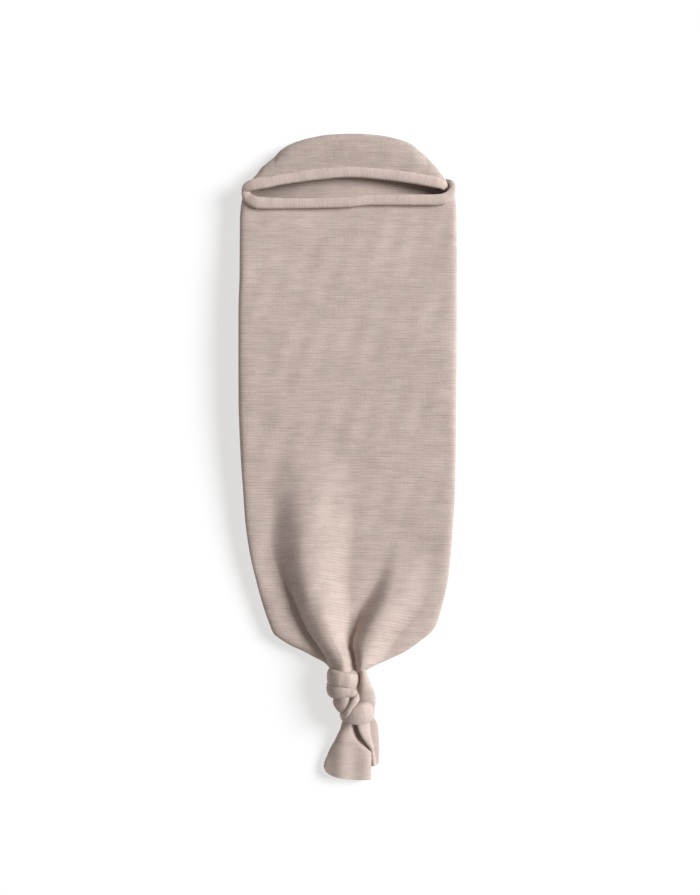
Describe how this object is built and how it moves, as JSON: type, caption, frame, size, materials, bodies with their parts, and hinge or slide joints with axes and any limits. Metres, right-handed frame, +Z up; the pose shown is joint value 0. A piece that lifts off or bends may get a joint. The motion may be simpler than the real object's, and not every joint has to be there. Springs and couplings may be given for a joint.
{
  "type": "baby sleeping bag",
  "caption": "Knitted cocoon sleeping bag for a newborn: domed hood, rolled face opening, long pouch, foot end gathered into an overhand knot with a loose tail",
  "frame": {"origin": "middle of the footprint, on the surface the bag lies on", "axes": "+X across the bag, +Y from the tail to the crown of the hood, +Z up out of the face opening"},
  "size_m": [0.26, 0.776, 0.044],
  "materials": {
    "knit": "fine heathered knit",
    "rolled_hem": "fine heathered knit, rolled"
  },
  "bodies": {
    "bag": {"back_panel": "knit", "front_panel": "knit", "chest_side_left": "knit", "chest_side_right": "knit", "gathered_neck": "knit"},
    "hood": {"hood_back": "knit", "hood_front": "knit", "hood_hem": "rolled_hem"},
    "mouth": {"chest_flap": "knit", "chest_hem": "rolled_hem"},
    "knot": {"knot_upper_turn": "knit", "knot_lower_turn": "knit", "knot_side_strand": "knit"},
    "tail": {"tail_front": "knit", "tail_back": "knit"}
  },
  "joints": [
    {"name": "hood_fold", "type": "hinge", "parent": "bag", "child": "hood", "pos_m": [0, 0.318, 0.017], "axis": [1, 0, 0], "range_deg": [0, 40]},
    {"name": "mouth_lift", "type": "hinge", "parent": "bag", "child": "mouth", "pos_m": [0, 0.1235, 0.034], "axis": [1, 0, 0], "range_deg": [0, 15]},
    {"name": "knot_swing", "type": "hinge", "parent": "bag", "child": "knot", "pos_m": [0.005, -0.24, 0.02], "axis": [0, 0, 1], "range_deg": [-15, 15]},
    {"name": "tail_lift", "type": "hinge", "parent": "knot", "child": "tail", "pos_m": [0.01, -0.3223, 0.0112], "axis": [-1, 0, 0], "range_deg": [0, 60]}
  ]
}
